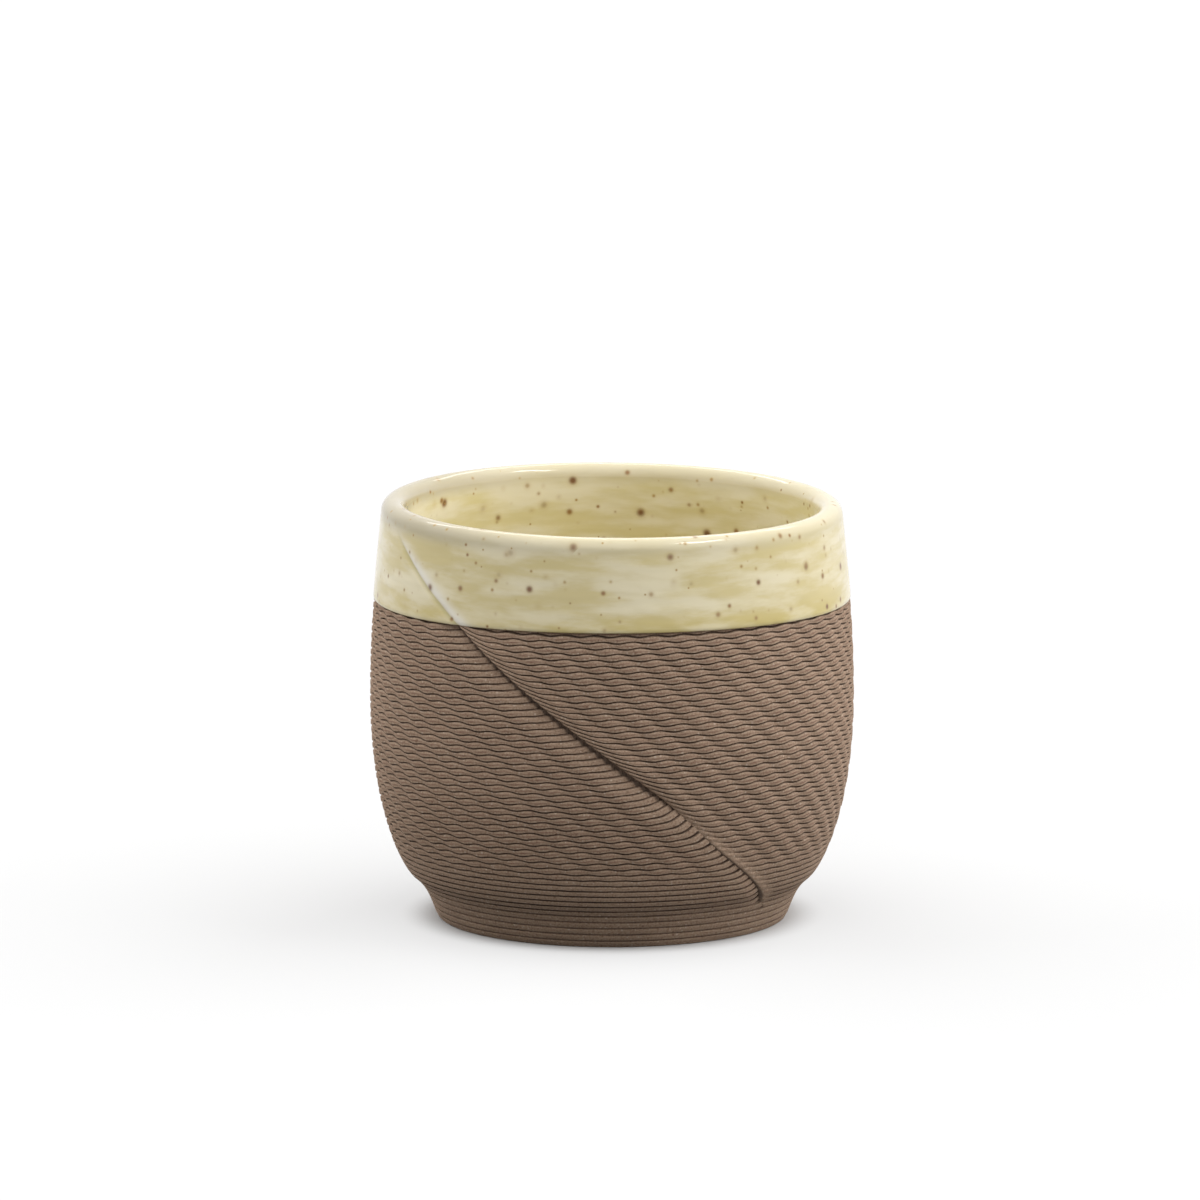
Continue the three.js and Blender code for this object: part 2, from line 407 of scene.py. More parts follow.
class RollingTree:
    """Geometry Nodes that roll a flat drawing of the cup up and print its fold and its waves.

    The drawing's x is the angle from the crease, its y the radius and its z the height.
    """

    WEIGHTS = ("layer", "bead", "waves", "sharp", "soft", "line")
    RIDGE_PEAK = 12.2
    POOL_PEAK = 9.9

    def __init__(self, outline: CupOutline, fold: SpiralFold, layers: PrintedLayers) -> None:
        """Builds the tree with one named input for each size.

        Args:
            outline: outside of the cup.
            fold: sizes of the spiral fold.
            layers: sizes of the printed layers.
        """
        self.sizes: dict[str, float] = {
            "Belly Radius": outline.belly_radius,
            "Depth Low": fold.depth_low,
            "Depth High": fold.depth_high,
            "Fold Left": fold.left,
            "Fold Right": fold.right,
            "Fold Twist": fold.twist,
            "Fold Front": fold.front,
            "Fold Foot": fold.foot,
            "Fold Full": fold.full,
            "Fold Fade": fold.fade,
            "Fold End": fold.end,
            "Nose Share": fold.nose_share,
            "Nose": fold.nose,
            "Under": fold.under,
            "Cover": fold.cover,
            "Ridge": fold.ridge,
            "Ridge Shift Low": fold.ridge_shift_low,
            "Ridge Shift High": fold.ridge_shift_high,
            "Edge Low": fold.edge_low,
            "Edge High": fold.edge_high,
            "Tail": fold.tail,
            "Tail End": fold.tail_end,
            "Swap Low": fold.swap_low,
            "Swap High": fold.swap_high,
            "Lift Left Low": fold.lift_left_low,
            "Lift Left High": fold.lift_left_high,
            "Lift Right Low": fold.lift_right_low,
            "Lift Right High": fold.lift_right_high,
            "Smear": fold.smear,
            "Layer Pitch": layers.pitch,
            "Wave Count": float(layers.waves),
            "Wave Depth": layers.wave_depth,
            "Wave Start": layers.wave_start,
            "Wave Full": layers.wave_full,
            "Groove Depth": layers.groove,
            "Foot Groove": layers.foot_groove,
            "Swell": layers.swell,
            "Wobble": layers.wobble,
            "Seed": layers.seed,
            "Line Bow": outline.line_bow,
            "Glaze Line": outline.glaze_line,
            "Lip Base": outline.lip_base,
            "Lip Tilt": outline.lip_tilt,
            "Lip High Side": outline.lip_high_side,
        }
        self.tree = bpy.data.node_groups.new("Rolled Printed Clay", "GeometryNodeTree")
        self.tree.is_modifier = True
        self.identifiers: dict[str, str] = {}
        interface = self.tree.interface
        interface.new_socket(name="Geometry", in_out="INPUT", socket_type="NodeSocketGeometry")
        for name, value in self.sizes.items():
            socket = interface.new_socket(name=name, in_out="INPUT", socket_type="NodeSocketFloat")
            socket.default_value = value
            self.identifiers[name] = socket.identifier
        finish = interface.new_socket(name="Finish", in_out="INPUT", socket_type="NodeSocketMaterial")
        self.identifiers["Finish"] = finish.identifier
        interface.new_socket(name="Geometry", in_out="OUTPUT", socket_type="NodeSocketGeometry")
        self.draw()

    def draw(self) -> None:
        """Draws the nodes from the flat drawing to the finished mesh."""
        sheet = NodeSheet(self.tree)
        entry = sheet.node("NodeGroupInput")
        size = {name: Field(sheet, entry.outputs[name]) for name in self.sizes}
        position = sheet.made("GeometryNodeInputPosition", {}, "Position")
        offset, radius, height = sheet.parts(position)
        weight = {
            name: sheet.made(
                "GeometryNodeInputNamedAttribute", {"Name": name}, "Attribute", data_type="FLOAT"
            )
            for name in self.WEIGHTS
        }
        layer = weight["layer"]
        # Closeness to the crease, from 0 at the edge of a shoulder to 1 in the crease
        on_right = sheet.math("GREATER_THAN", offset, -1e-6)
        width = sheet.pick(on_right, size["Fold Left"] * -1.0, size["Fold Right"]) / size["Belly Radius"]
        close = 1.0 - sheet.math("MINIMUM", offset / width, 1.0)
        rise = sheet.step(size["Fold Foot"], size["Fold Full"], layer)
        strength = rise * (1.0 - sheet.step(size["Fold Fade"], size["Fold End"], layer))

        # Above, the right side of the crease rolls over the left one; below, the left one over the right
        aloft = sheet.step(size["Swap Low"], size["Swap High"], layer)
        over = sheet.pick(on_right, 1.0 - aloft, aloft)
        nose = 1.0 - sheet.math("SQRT", sheet.math("MAXIMUM", 1.0 - close ** size["Nose"], 0.0))
        flank = sheet.pick(aloft, 0.25 * close * close + 0.75 * close**50.0, close * close)
        rolled = sheet.pick(over, flank, sheet.pick(size["Nose Share"], close * close, nose))
        hollow = sheet.pick(on_right, sheet.step(0.65, 1.0, close), close**3.0)
        ridge = on_right * close**4.0 * (1.0 - close) * self.RIDGE_PEAK
        glazed = weight["soft"] * (1.0 - weight["soft"] * 2.0)
        fold_in = sheet.pick(aloft, size["Depth Low"], size["Depth High"]) * strength
        fold_in = fold_in * (weight["sharp"] * rolled + weight["soft"] * hollow)
        fold_in = fold_in - size["Ridge"] * ridge * strength * glazed
        tip = sheet.step(0.92, 1.0, close)
        curl = sheet.pick(tip, sheet.step(0.2, 0.92, close) * size["Cover"] * -1.0, size["Under"])
        slide = sheet.pick(over, close**4.0 * size["Under"], curl) * (aloft * 2.0 - 1.0)
        slide = slide * strength * weight["sharp"] / size["Belly Radius"]

        # Rise of the layers towards the crease, and smearing at the lower end of the fold
        level = sheet.pick(aloft * 0.5, height, layer)
        own = (offset + size["Fold Twist"] * (height - level)) / width
        own = 1.0 - sheet.math("MINIMUM", sheet.math("MAXIMUM", own, 0.0), 1.0)
        lift_left = sheet.pick(aloft, size["Lift Left Low"], size["Lift Left High"])
        lift_right = sheet.pick(aloft, size["Lift Right Low"], size["Lift Right High"])
        lift = sheet.pick(on_right, lift_left, lift_right) * strength * weight["sharp"]
        lift = lift * own ** sheet.pick(aloft, 3.2, 1.6)
        smear = sheet.pick(aloft, sheet.step(0.3, 0.85, close), sheet.step(0.45, 0.95, close) * 0.7)
        clear = 1.0 - size["Smear"] * on_right * smear * strength
        clear = clear * (1.0 - 0.6 * (1.0 - over) * close**4.0 * strength)
        # Painted shade along the crease, under the rolled shoulder: a mask that darkens the clay colour
        crack = sheet.pick(aloft, sheet.step(0.89, 0.97, close), sheet.step(0.92, 0.98, close))
        crack = crack * (1.0 - over) * strength * weight["sharp"]
        # Along the fold under the glaze: positive in the hollow, where the glaze pools olive with painted
        # shade; negative on the ridge, where it is thinner and whiter with a painted highlight
        pool = sheet.pick(on_right, hollow, ridge * -1.0) * strength * glazed * self.POOL_PEAK

        # Angle round the cup: the rolled edge shows the crease after its rise
        tail = size["Tail"] * (1.0 - sheet.step(size["Fold Foot"], size["Tail End"], layer))
        edge = (sheet.pick(aloft, size["Edge Low"], size["Edge High"]) - tail) * weight["sharp"]
        upward = sheet.step(size["Glaze Line"], size["Lip Base"], layer)
        bend = sheet.pick(upward, size["Ridge Shift Low"], size["Ridge Shift High"])
        edge = edge + bend * sheet.math("GREATER_THAN", weight["soft"], 0.0)
        angle = size["Fold Twist"] * (size["Fold Front"] - level - edge) + offset + slide

        # Waves of this layer and of the layers over and under it
        turn = size["Wave Count"] * (offset + size["Fold Twist"] * (layer - level))
        skip = size["Wave Count"] * size["Fold Twist"] * size["Layer Pitch"]
        crest = sheet.math("COSINE", turn)
        crest_over = sheet.math("COSINE", turn + skip)
        crest_under = sheet.math("COSINE", turn - skip)
        wavy = weight["waves"] * sheet.step(size["Wave Start"], size["Wave Full"], layer)
        wavy = wavy * (1.0 - close) ** 2.0
        lens = (1.0 + crest) * 0.5 * wavy
        bead = weight["bead"]
        upper = sheet.math("GREATER_THAN", bead, 0.0)
        shared = sheet.math("ABSOLUTE", bead) ** 8.0 * 0.5
        level_crest = sheet.pick(shared, crest, sheet.pick(upper, crest_under, crest_over))
        valley = (1.0 - level_crest) * 0.5 * wavy
        swell = upper * (crest - crest_over) + (1.0 - upper) * (crest_under - crest)
        swell = swell * 0.5 * size["Swell"] * wavy * bead * bead
        firm = sheet.pick(sheet.step(size["Fold Foot"], size["Fold Full"], layer), size["Foot Groove"], 1.0)
        spot = sheet.vector(sheet.math("SINE", angle), sheet.math("COSINE", angle), layer * 400.0)
        patchy = sheet.noise(spot, 7.0, 1.0, size["Seed"]) + 0.5
        # The groove mask sets the depth of the grooves and, in the clay colour, their painted shade
        groove = sheet.math("ABSOLUTE", bead) ** 8.0 * weight["waves"] * clear * firm * patchy

        # Small unevenness of the printed clay
        spot = sheet.vector(sheet.math("SINE", angle), sheet.math("COSINE", angle), layer * 90.0)
        uneven = sheet.noise(spot, 9.0, 2.0, size["Seed"])
        radius = radius - fold_in - valley * size["Wave Depth"] - groove * size["Groove Depth"]
        radius = radius - uneven * size["Wobble"] * weight["waves"]
        bow = sheet.math("COSINE", angle * 2.0) * size["Line Bow"] * weight["line"]
        tilt = upward * size["Lip Tilt"]
        tilt = tilt * (1.0 + sheet.math("COSINE", angle - size["Lip High Side"]))
        height = height + lift + swell + bow + tilt
        place = sheet.vector(
            radius * sheet.math("SINE", angle), radius * sheet.math("COSINE", angle) * -1.0, height
        )

        # Shading attributes, which read the flat drawing, then placing and finish
        shape = Field(sheet, entry.outputs["Geometry"])
        shades = {"groove": groove, "across": bead, "pool": pool, "crack": crack, "lens": lens}
        for name, value in shades.items():
            shape = sheet.made(
                "GeometryNodeStoreNamedAttribute",
                {"Geometry": shape, "Name": name, "Value": value},
                "Geometry",
                data_type="FLOAT",
                domain="POINT",
            )
        shape = sheet.made("GeometryNodeSetPosition", {"Geometry": shape, "Position": place}, "Geometry")
        shape = sheet.made("GeometryNodeMergeByDistance", {"Geometry": shape, "Distance": 1e-6}, "Geometry")
        shape = sheet.made("GeometryNodeSetShadeSmooth", {"Geometry": shape}, "Geometry")
        shape = sheet.made("GeometryNodeRealizeInstances", {"Geometry": shape}, "Geometry")
        finish = Field(sheet, entry.outputs["Finish"])
        shape = sheet.made("GeometryNodeSetMaterial", {"Geometry": shape, "Material": finish}, "Geometry")
        leave = sheet.node("NodeGroupOutput")
        sheet.feed(leave.inputs["Geometry"], shape)


@dataclass(frozen=True)
class Columns:
    """Columns of a piece round the cup: a fine run over each shoulder of the fold and plain ones between."""

    plain: int
    left: int
    right: int

    def offsets(self, fold: SpiralFold, radius: float) -> list[float]:
        """Gives the angles of the columns, counted from the crease.

        Args:
            fold: sizes of the spiral fold.
            radius: radius at which the widths of the shoulders hold.

        Returns:
            Angles from the left shoulder over the crease and once round the cup.
        """
        left_width = fold.left / radius
        right_width = fold.right / radius
        quarter = math.pi / 2
        left = [-left_width * (1 - math.sin(t)) for t in np.linspace(0, quarter, self.left + 1)[:-1]]
        right = [right_width * (1 - math.sin(t)) for t in np.linspace(quarter, 0, self.right + 1)]
        plain = np.linspace(right_width, 2 * math.pi - left_width, self.plain + 1)[1:-1]
        far = [float(turn - 2 * math.pi) for turn in plain if turn > math.pi]
        near = [float(turn) for turn in plain if turn <= math.pi]
        return far + left + right + near


@dataclass(frozen=True)
class CupPiece:
    """One piece of the cup, drawn as rows of rings and rolled up."""

    outline: CupOutline
    fold: SpiralFold
    layers: PrintedLayers
    name: str = ""
    node: str = ""
    slot: str = ""
    columns: Columns = Columns(plain=320, left=12, right=18)
    inside_steps: int = 10
    closed: bool = True
    crisp: float = 60.0

    def rows(self) -> list[Row]:
        """Gives the rings of the piece in order, so that its outside lies on the right of their way."""
        raise NotImplementedError

    def drawing(self) -> bpy.types.Mesh:
        """Draws the piece flat.

        Returns:
            A mesh whose x is the angle from the crease, y the radius and z the height.
        """
        rows = self.rows()
        offsets = self.columns.offsets(self.fold, self.outline.belly_radius)
        count = len(offsets)
        points = [(offset, row.radius, row.height) for row in rows for offset in offsets]
        faces = []
        for low in range(len(rows) if self.closed else len(rows) - 1):
            high = (low + 1) % len(rows)
            for left in range(count):
                right = (left + 1) % count
                corners = ((low, left), (low, right), (high, right), (high, left))
                faces.append(tuple(row * count + column for row, column in corners))
        mesh = bpy.data.meshes.new(self.name)
        mesh.from_pydata(points, [], faces)
        values = {
            "layer": [row.layer for row in rows],
            "bead": [row.bead for row in rows],
            "waves": [row.waves for row in rows],
            "sharp": [row.fold.value[0] for row in rows],
            "soft": [row.fold.value[1] for row in rows],
            "line": [row.line for row in rows],
        }
        for name, value in values.items():
            layer = mesh.attributes.new(name=name, type="FLOAT", domain="POINT")
            layer.data.foreach_set("value", np.repeat(np.array(value, dtype=np.float32), count))
        return mesh

    def build(self, rolling: RollingTree, finish: bpy.types.Material) -> bpy.types.Object:
        """Rolls the drawing up, dresses it and puts it in the place of its node.

        Args:
            rolling: the tree that rolls the drawing up.
            finish: material of the piece.

        Returns:
            The finished piece.
        """
        piece = bpy.data.objects.new(self.name, self.drawing())
        bpy.context.scene.collection.objects.link(piece)
        modifier = piece.modifiers.new("Rolled Printed Clay", "NODES")
        modifier.node_group = rolling.tree
        for name, value in rolling.sizes.items():
            modifier[rolling.identifiers[name]] = value
        modifier[rolling.identifiers["Finish"]] = finish
        depsgraph = bpy.context.evaluated_depsgraph_get()
        rolled = bpy.data.meshes.new_from_object(
            piece.evaluated_get(depsgraph), preserve_all_data_layers=True, depsgraph=depsgraph
        )
        piece.modifiers.clear()
        drawing = piece.data
        piece.data = rolled
        bpy.data.meshes.remove(drawing)
        rolled.name = self.name
        for name in RollingTree.WEIGHTS:
            rolled.attributes.remove(rolled.attributes[name])
        rolled.set_sharp_from_angle(angle=math.radians(self.crisp))
        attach(piece, BODY)
        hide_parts(self.node)
        rolled.calc_loop_triangles()
        LOG.info("%s: %d triangles", self.name, len(rolled.loop_triangles))
        return piece


@dataclass(frozen=True)
class ClayWall(CupPiece):
    """The printed wall: bare layers up to the glaze, then the hidden clay under the glaze."""

    name: str = "printed_clay_wall"
    node: str = "clay_wall"
    slot: str = "clay"
    columns: Columns = Columns(plain=356, left=12, right=18)
    crisp: float = 35.0
    beads: tuple[float, ...] = (-1.0, -0.8, 0.8, 1.0)

    def rows(self) -> list[Row]:
        """Gives the rings from the foot up the outside, over the lip and down the inside."""
        outline = self.outline
        layers = self.layers
        rows = [Row(outline.seat, 0.0, 0.0)]
        for index in range(layers.count):
            low = layers.edge(index) + (layers.gap / 2 if index else 0.0)
            high = layers.edge(index + 1) - layers.gap / 2
            middle = (low + high) / 2
            inset = layers.inset + (layers.tuck if high > outline.glaze_line else 0.0)
            for bead in self.beads:
                height = middle + bead * (high - low) / 2
                radius = outline.radius(height) - inset
                rows.append(Row(radius, height, middle, FoldForm.CREASED, bead, 1.0))
        set_back = outline.glaze + outline.bond
        bare_top = layers.edge(layers.count)
        for height in np.linspace(bare_top, outline.lip_base, 5)[:-1]:
            rows.append(Row(outline.radius(height) - set_back, float(height), float(height), FoldForm.COATED))
        for radius, height in outline.lip_round(set_back, 6)[:-1]:
            rows.append(Row(radius, height, height))
        for radius, height in reversed(outline.inside(self.inside_steps)):
            rows.append(Row(radius, height, height, FoldForm.RIDGED))
        return rows


@dataclass(frozen=True)
class ClayBase(CupPiece):
    """The printed base inside the foot, with the rings of its print on the underside."""

    name: str = "printed_clay_base"
    node: str = "clay_base"
    slot: str = "clay"
    columns: Columns = Columns(plain=120, left=2, right=4)
    closed: bool = False
    rings: int = 12
    ring_groove: float = 0.2 * MM

    def rows(self) -> list[Row]:
        """Gives the rings from the middle of the underside out, up and back to the middle."""
        pitch = self.outline.seat / self.rings
        rows = [Row(0.0, self.ring_groove, 0.0)]
        for ring in range(self.rings):
            for share, height in ((0.25, 0.0), (0.75, 0.0), (1.0, self.ring_groove)):
                rows.append(Row((ring + share) * pitch, height, 0.0))
        rows.append(Row(self.outline.seat, self.outline.base, 0.0))
        rows.append(Row(0.0, self.outline.base, 0.0))
        return rows


@dataclass(frozen=True)
class RimGlaze(CupPiece):
    """The glaze that the rim was dipped in, from its rolled lower edge over the lip."""

    name: str = "dipped_rim_glaze"
    node: str = "rim_glaze"
    slot: str = "glaze"
    edge: tuple[tuple[float, float], ...] = ((0.3, 0.0), (0.12, 0.05), (0.02, 0.22), (0.0, 0.6))
    ghost: float = 0.03
    ghost_end: float = 56 * MM
    run: float = 4 * MM

    def row(self, radius: float, height: float, ghost: float = 0.0) -> Row:
        """Gives a ring of the band, whose lower part follows the glaze line."""
        share = min(1.0, max(0.0, (height - self.outline.glaze_line) / self.run))
        line = 1 - share * share * (3 - 2 * share)
        return Row(radius, height, height, FoldForm.COATED, 0.0, ghost, line)

    def rows(self) -> list[Row]:
        """Gives the rings from the glaze line up the outside, over the lip and back under the glaze."""
        outline = self.outline
        line = outline.glaze_line
        rows = []
        for depth, rise in self.edge:
            height = line + rise * MM
            rows.append(self.row(outline.radius(height) - depth * MM, height, self.ghost))
        for height in np.linspace(line + 1.2 * MM, outline.lip_base, 18)[:-1]:
            fade = min(1.0, max(0.0, (self.ghost_end - height) / self.run))
            rows.append(self.row(outline.radius(height), float(height), self.ghost * fade))
        for radius, height in outline.lip_round(0.0, 16):
            rows.append(Row(radius, height, height))
        for radius, height in reversed(outline.lip_round(outline.glaze, 8)):
            rows.append(Row(radius, height, height))
        for height in np.linspace(outline.lip_base, line + 0.3 * MM, 6)[1:]:
            rows.append(self.row(outline.radius(height) - outline.glaze, float(height)))
        return rows


@dataclass(frozen=True)
class LiningGlaze(CupPiece):
    """The glaze that was poured into the cup, over the floor and up to the lip."""

    name: str = "poured_lining_glaze"
    node: str = "lining_glaze"
    slot: str = "glaze"
    closed: bool = False
    ghost: float = 0.03
    overlap: float = 0.2 * MM
    tuck: float = 0.03 * MM

    def shifted(self, points: list[tuple[float, float]], distance: float) -> list[tuple[float, float]]:
        """Moves a profile sideways, to the left of the way it runs.

        Args:
            points: pairs of radius and height.
            distance: how far each point moves.

        Returns:
            The moved pairs.
        """
        moved = []
        for index, (radius, height) in enumerate(points):
            before = points[max(0, index - 1)]
            after = points[min(len(points) - 1, index + 1)]
            along = Vector((after[0] - before[0], after[1] - before[1])).normalized()
            moved.append((radius - along.y * distance, height + along.x * distance))
        return moved

    def form(self, radius: float) -> FoldForm:
        """Gives the form of a ring: the floor is plain and the wall follows the fold."""
        return FoldForm.PLAIN if radius < self.outline.seat else FoldForm.RIDGED

    def rows(self) -> list[Row]:
        """Gives the rings from the middle of the floor up under the glaze and down its surface."""
        outline = self.outline
        floor = [(share * outline.seat, outline.base) for share in (0.0, 0.3, 0.65)]
        covered = floor + outline.inside(self.inside_steps)
        under = self.shifted(covered, outline.bond)
        over = self.shifted(covered, outline.bond + outline.glaze)
        rows = []
        for radius, height in under:
            rows.append(Row(radius, min(height, outline.lip_base), height, self.form(radius)))
        top = over.pop()[0]
        rows.append(Row(top + self.tuck, outline.lip_base + self.overlap, outline.lip_base, FoldForm.RIDGED))
        rows.append(Row(top, outline.lip_base, outline.lip_base, FoldForm.RIDGED))
        for radius, height in reversed(over):
            low = outline.base + outline.floor_round
            ghost = self.ghost if low < height < outline.lip_base - 2 * MM else 0.0
            rows.append(Row(radius, height, height, self.form(radius), 0.0, ghost))
        return rows


class SurfaceGroups:
    """Shader groups that the clay and the glaze share."""

    def __init__(self) -> None:
        """Builds the groups once."""
        self.specks = self.speck_group()
        self.mottling = self.mottling_group()

    @staticmethod
    def begin(name: str, inputs: dict[str, str], outputs: dict[str, str]) -> bpy.types.NodeTree:
        """Starts a shader group.

        Args:
            name: name of the group.
            inputs: socket types by the names of the inputs.
            outputs: socket types by the names of the outputs.

        Returns:
            The group's tree with its sockets.
        """
        group = bpy.data.node_groups.new(name, "ShaderNodeTree")
        for label, kind in inputs.items():
            group.interface.new_socket(name=label, in_out="INPUT", socket_type=kind)
        for label, kind in outputs.items():
            group.interface.new_socket(name=label, in_out="OUTPUT", socket_type=kind)
        return group

    def speck_group(self) -> bpy.types.NodeTree:
        """Builds round specks of mixed sizes, scattered through the material.

        Returns:
            The group's tree.
        """
        sizes = {name: "NodeSocketFloat" for name in ("Scale", "Size", "Softness")}
        group = self.begin("Specks", {"Vector": "NodeSocketVector", **sizes}, {"Mask": "NodeSocketFloat"})
        sheet = NodeSheet(group)
        entry = sheet.node("NodeGroupInput")
        socket = {name: Field(sheet, entry.outputs[name]) for name in ("Vector", "Scale", "Size", "Softness")}
        cells = sheet.node("ShaderNodeTexVoronoi", voronoi_dimensions="3D", feature="F1")
        sheet.feed(cells.inputs["Vector"], socket["Vector"])
        sheet.feed(cells.inputs["Scale"], socket["Scale"])
        distance = Field(sheet, cells.outputs["Distance"])
        chance, _, _ = sheet.parts(Field(sheet, cells.outputs["Color"]))
        edge = socket["Size"] * (0.35 + 0.65 * chance)
        mask = 1.0 - sheet.step(edge * (1.0 - socket["Softness"]), edge, distance)
        leave = sheet.node("NodeGroupOutput")
        sheet.feed(leave.inputs["Mask"], mask)
        return group

    def mottling_group(self) -> bpy.types.NodeTree:
        """Builds soft cloudy patches with a contrast that can be set.

        Returns:
            The group's tree.
        """
        names = ("Scale", "Seed", "Low", "High")
        sizes = {name: "NodeSocketFloat" for name in names}
        group = self.begin("Mottling", {"Vector": "NodeSocketVector", **sizes}, {"Value": "NodeSocketFloat"})
        sheet = NodeSheet(group)
        entry = sheet.node("NodeGroupInput")
        socket = {name: Field(sheet, entry.outputs[name]) for name in ("Vector", *names)}
        cloud = sheet.noise(socket["Vector"], socket["Scale"], 4.0, socket["Seed"])
        leave = sheet.node("NodeGroupOutput")
        sheet.feed(leave.inputs["Value"], sheet.step(socket["Low"], socket["High"], cloud))
        return group

    @staticmethod
    def use(sheet: NodeSheet, group: bpy.types.NodeTree, output: str, **inputs: object) -> Field:
        """Places a group in a material with its own values.

        Args:
            sheet: the material's sheet.
            group: the group to place.
            output: name of the output to give back.
            inputs: fields or values by the names of the inputs.

        Returns:
            The field of that output.
        """
        node = sheet.node("ShaderNodeGroup", node_tree=group)
        for name, value in inputs.items():
            sheet.feed(node.inputs[name], value)
        return Field(sheet, node.outputs[output])


@dataclass(frozen=True)
class Finish:
    """A finish of the cup, made of nodes."""

    name: str
    roughness: float

    def start(self) -> tuple[bpy.types.Material, NodeSheet, bpy.types.Node, Field]:
        """Starts the material.

        Returns:
            The material, its sheet, its shader and the object coordinates.
        """
        material = bpy.data.materials.new(self.name)
        material.use_nodes = True
        material.node_tree.nodes.clear()
        sheet = NodeSheet(material.node_tree)
        shader = sheet.node("ShaderNodeBsdfPrincipled")
        leave = sheet.node("ShaderNodeOutputMaterial")
        material.node_tree.links.new(shader.outputs["BSDF"], leave.inputs["Surface"])
        shader.inputs["Roughness"].default_value = self.roughness
        place = sheet.made("ShaderNodeTexCoord", {}, "Object")
        return material, sheet, shader, place

    @staticmethod
    def bump(
        sheet: NodeSheet, shader: bpy.types.Node, height: Field, distance: float, strength: float
    ) -> None:
        """Feeds a bump of a height field into the shader's normal."""
        inputs = {"Height": height, "Distance": distance, "Strength": strength}
        sheet.feed(shader.inputs["Normal"], sheet.made("ShaderNodeBump", inputs, "Normal"))


@dataclass(frozen=True)
class ClayFinish(Finish):
    """Bare fired stoneware: matte, warm brown, with fine grog and deep grooves between the layers; its colour
    adds painted shade in the grooves, along the crease and near the floor.
    """

    name: str = "bare_stoneware"
    roughness: float = 0.92
    warm: Colour = paint("b59a83")
    cool: Colour = paint("a68c76")
    # Painted shade: the dark colour that the grooves and the crease are mixed towards
    groove: Colour = paint("2c2019")
    grog: Colour = paint("cdb9a4")
    iron: Colour = paint("6b4c39")
    core: Colour = paint("7d5c4a")
    # Painted shade near the floor: the dark colour that the lowest part of the wall is mixed towards, in
    # patches
    foot_shade: Colour = paint("4a382c")
    foot_shade_height: float = 8 * MM
    patch_scale: float = 140.0
    pale_scale: float = 1300.0
    dark_scale: float = 900.0
    drawn_scale: float = 900.0
    grain_scale: float = 3600.0
    crown: float = 0.05
    tooth: float = 0.09

    def material(self, groups: SurfaceGroups) -> bpy.types.Material:
        """Builds the material.

        Args:
            groups: the shared shader groups.

        Returns:
            The finished material.
        """
        material, sheet, shader, place = self.start()
        patch = groups.use(
            sheet,
            groups.mottling,
            "Value",
            Vector=place,
            Scale=self.patch_scale,
            Seed=2.0,
            Low=0.3,
            High=0.7,
        )
        pale = groups.use(
            sheet, groups.specks, "Mask", Vector=place, Scale=self.pale_scale, Size=0.3, Softness=0.5
        )
        dark = groups.use(
            sheet, groups.specks, "Mask", Vector=place, Scale=self.dark_scale, Size=0.24, Softness=0.6
        )
        x, y, height = sheet.parts(place)
        drawn = sheet.noise(sheet.vector(x, y, height * 6.0), self.drawn_scale, 2.0, 4.0)
        colour = sheet.blend(sheet.math("MINIMUM", patch * 0.5 + drawn * 0.5, 1.0), self.cool, self.warm)
        grain = sheet.noise(place, self.grain_scale, 2.0, 1.0)
        colour = sheet.blend(sheet.step(0.5, 0.72, grain) * 0.4, colour, self.grog)
        colour = sheet.blend((1.0 - sheet.step(0.3, 0.5, grain)) * 0.5, colour, self.iron)
        colour = sheet.blend(pale * 0.8, colour, self.grog)
        colour = sheet.blend(dark * 0.6, colour, self.iron)
        across = sheet.made("ShaderNodeAttribute", {}, "Fac", attribute_name="across")
        lens = sheet.made("ShaderNodeAttribute", {}, "Fac", attribute_name="lens")
        core = 1.0 - sheet.step(0.05, 0.5, sheet.math("ABSOLUTE", across))
        colour = sheet.blend(core * (0.2 + drawn) * (0.25 + 0.75 * lens), colour, self.core)
        # Painted shade near the floor: darker towards the bottom, uneven in patches
        low = 1.0 - sheet.step(0.0, self.foot_shade_height, height)
        colour = sheet.blend(low * (0.04 + 0.25 * patch), colour, self.foot_shade)
        # Painted shade in the grooves between the layers, over the shade of their real depth
        groove = sheet.made("ShaderNodeAttribute", {}, "Fac", attribute_name="groove")
        colour = sheet.blend(groove * 0.66, colour, self.groove)
        # Painted shade along the crease
        crack = sheet.made("ShaderNodeAttribute", {}, "Fac", attribute_name="crack")
        colour = sheet.blend(crack * 0.7, colour, self.groove)
        sheet.feed(shader.inputs["Base Color"], colour)
        crown = across * across * self.crown
        self.bump(sheet, shader, grain * self.tooth - crown, MM, 1.0)
        return material


